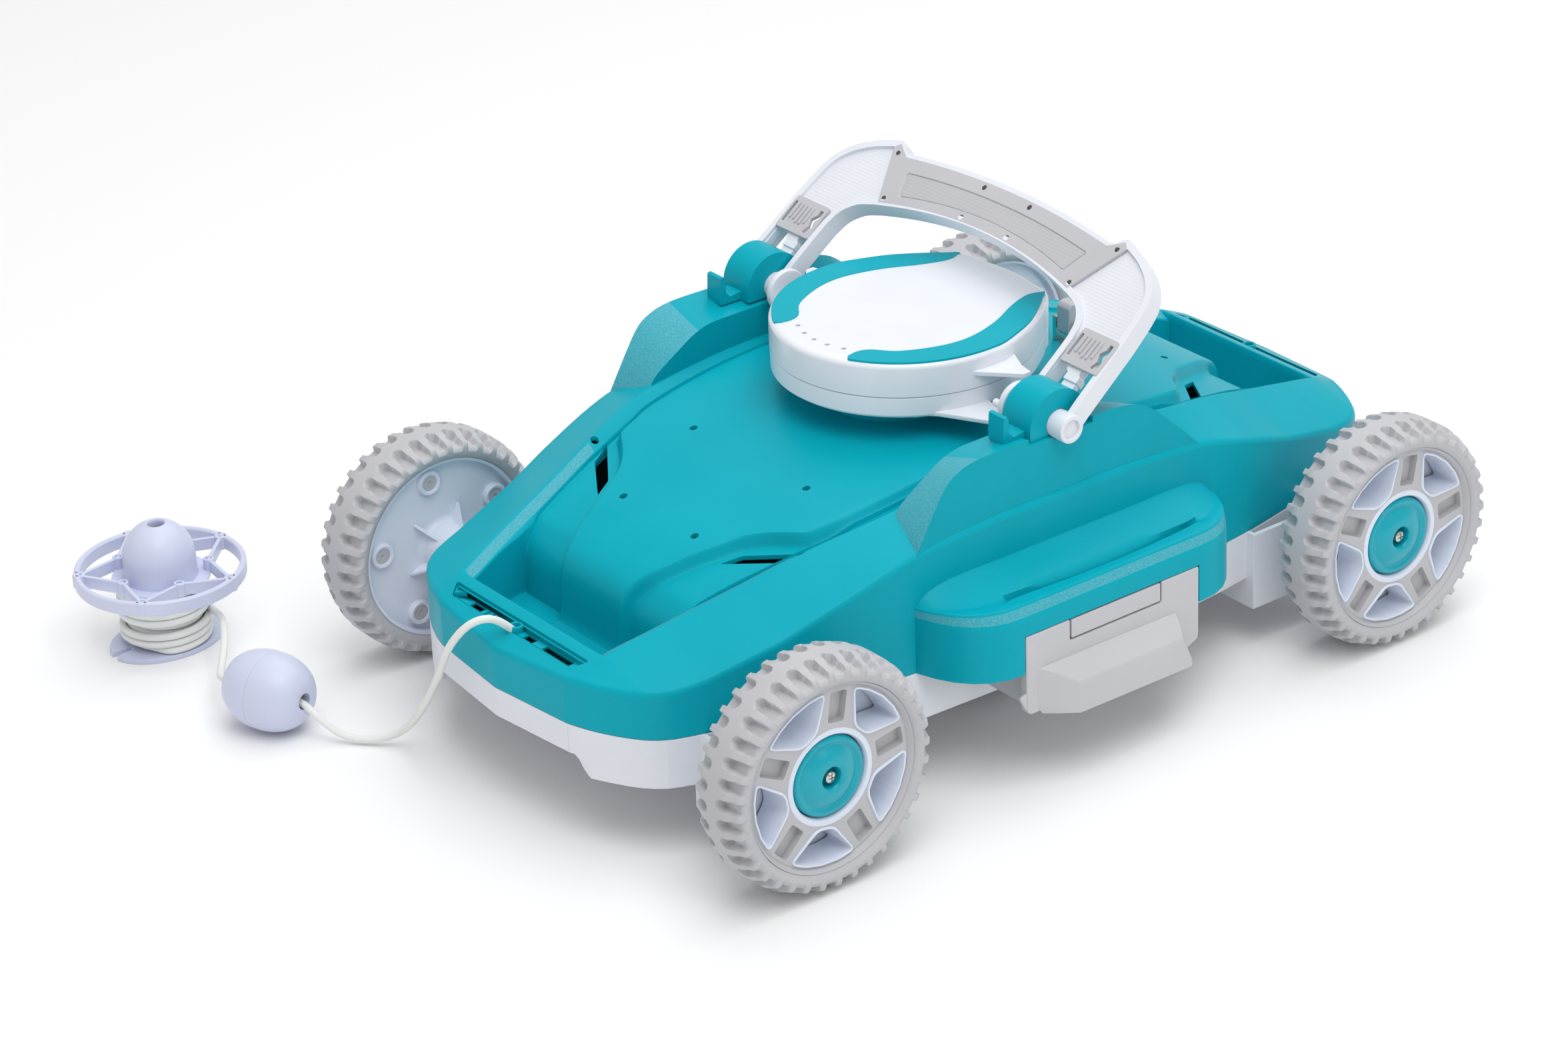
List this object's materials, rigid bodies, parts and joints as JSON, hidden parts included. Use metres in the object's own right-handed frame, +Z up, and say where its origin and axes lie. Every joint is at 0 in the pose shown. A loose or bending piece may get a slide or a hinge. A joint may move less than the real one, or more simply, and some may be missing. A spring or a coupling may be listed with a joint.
{
  "type": "pool cleaner",
  "caption": "Cordless pool floor cleaner: teal shell on grey tyred wheels, round pump head, swinging arch with latches, side filter drawers, and a float on a braided cord with its reel.",
  "frame": {"origin": "on the ground midway between the four wheels", "axes": "+Z up, +X to the right of a viewer facing the cord end, -Y the end with the cord slot"},
  "size_m": [0.4891, 0.607, 0.2344],
  "materials": {
    "teal_shell": "satin moulded",
    "white_pan": "satin moulded",
    "white_gloss": "fine satin",
    "arch_white": "satin, dimpled web",
    "grip_grey": "fine texture",
    "door_grey": "fine texture",
    "screen_mesh": "woven mesh",
    "steel": "bright",
    "motor_steel": "drawn can",
    "seal_rubber": "matt",
    "inner_plastic": "moulded",
    "cell_wrap": "shrink wrap",
    "board_green": "solder mask",
    "float_white": "satin moulded",
    "cord_braid": "braided",
    "tyre_grey": "soft matt",
    "rim_white": "satin moulded"
  },
  "bodies": {
    "chassis": {"battery_cells": "cell_wrap", "bottom_pan": "white_pan", "control_board": "board_green", "cord_knot": "cord_braid", "cord_reel": "float_white", "cord_winding": "cord_braid", "flap_pin": "steel", "float_cord": "cord_braid", "float_half_far": "float_white", "float_half_near": "float_white", "front_axle_stubs": "steel", "head_base": "white_gloss", "head_cover": "white_gloss", "head_gasket": "seal_rubber", "head_screws": "steel", "head_trim_left": "teal_shell", "head_trim_right": "teal_shell", "lever_bracket": "steel", "motor_can": "motor_steel", "neck_ring": "teal_shell", "pan_screws": "steel", "pivot_cap_left": "teal_shell", "pivot_cap_right": "teal_shell", "pump_housing": "inner_plastic", "rear_axle_stubs": "steel", "shaft_seal": "seal_rubber", "top_shell": "teal_shell", "wheel_screws": "steel"},
    "impeller": {"impeller": "inner_plastic", "motor_shaft": "steel"},
    "arch": {"arch_frame": "arch_white", "arch_grip_plate": "grip_grey", "grip_plate_screws": "steel"},
    "latch_right": {"arch_latch_right": "grip_grey", "arch_bolt_right": "arch_white"},
    "latch_left": {"arch_latch_left": "grip_grey", "arch_bolt_left": "arch_white"},
    "drawer_right": {"filter_drawer_right": "door_grey", "filter_screen_right": "screen_mesh"},
    "drawer_left": {"filter_drawer_left": "door_grey", "filter_screen_left": "screen_mesh"},
    "tab_right": {"drawer_tab_right": "door_grey"},
    "tab_left": {"drawer_tab_left": "door_grey"},
    "rear_lever": {"rear_lever": "grip_grey"},
    "intake_flap": {"intake_flap": "seal_rubber"},
    "wheel_front_right": {"tyre_front_right": "tyre_grey", "rim_front_right": "rim_white", "hub_cap_front_right": "teal_shell"},
    "wheel_front_left": {"tyre_front_left": "tyre_grey", "rim_front_left": "rim_white", "hub_cap_front_left": "teal_shell"},
    "wheel_rear_right": {"tyre_rear_right": "tyre_grey", "rim_rear_right": "rim_white", "hub_cap_rear_right": "teal_shell"},
    "wheel_rear_left": {"tyre_rear_left": "tyre_grey", "rim_rear_left": "rim_white", "hub_cap_rear_left": "teal_shell"}
  },
  "joints": [
    {"name": "wheel_front_right_spin", "type": "hinge", "parent": "chassis", "child": "wheel_front_right", "pos_m": [0.1636, -0.1894, 0.062], "axis": [1, 0, 0], "continuous": true},
    {"name": "wheel_front_left_spin", "type": "hinge", "parent": "chassis", "child": "wheel_front_left", "pos_m": [-0.1636, -0.1894, 0.062], "axis": [1, 0, 0], "continuous": true},
    {"name": "wheel_rear_right_spin", "type": "hinge", "parent": "chassis", "child": "wheel_rear_right", "pos_m": [0.1636, 0.1894, 0.062], "axis": [1, 0, 0], "continuous": true},
    {"name": "wheel_rear_left_spin", "type": "hinge", "parent": "chassis", "child": "wheel_rear_left", "pos_m": [-0.1636, 0.1894, 0.062], "axis": [1, 0, 0], "continuous": true},
    {"name": "arch_swing", "type": "hinge", "parent": "chassis", "child": "arch", "pos_m": [0, 0, 0.1705], "axis": [1, 0, 0], "range_deg": [0, 105.8]},
    {"name": "latch_right_slide", "type": "slide", "parent": "arch", "child": "latch_right", "axis": [0, 0.7977, 0.6031], "range_m": [0, 0.006]},
    {"name": "latch_left_slide", "type": "slide", "parent": "arch", "child": "latch_left", "axis": [0, 0.7977, 0.6031], "range_m": [0, 0.006]},
    {"name": "drawer_right_slide", "type": "slide", "parent": "chassis", "child": "drawer_right", "axis": [1, 0, 0], "range_m": [0, 0.06]},
    {"name": "tab_right_press", "type": "slide", "parent": "drawer_right", "child": "tab_right", "axis": [-1, 0, 0], "range_m": [0, 0.0022], "stiffness_N_per_m": 400},
    {"name": "drawer_left_slide", "type": "slide", "parent": "chassis", "child": "drawer_left", "axis": [-1, 0, 0], "range_m": [0, 0.06]},
    {"name": "tab_left_press", "type": "slide", "parent": "drawer_left", "child": "tab_left", "axis": [1, 0, 0], "range_m": [0, 0.0022], "stiffness_N_per_m": 400},
    {"name": "rear_lever_tilt", "type": "hinge", "parent": "chassis", "child": "rear_lever", "pos_m": [0, 0.117, 0.146], "axis": [1, 0, 0], "range_deg": [-60, 0]},
    {"name": "intake_flap_lift", "type": "hinge", "parent": "chassis", "child": "intake_flap", "pos_m": [0, 0.016, 0.031], "axis": [1, 0, 0], "range_deg": [-40, 0]},
    {"name": "impeller_spin", "type": "hinge", "parent": "chassis", "child": "impeller", "pos_m": [0, 0, 0.105], "axis": [0, 0, 1], "continuous": true}
  ]
}
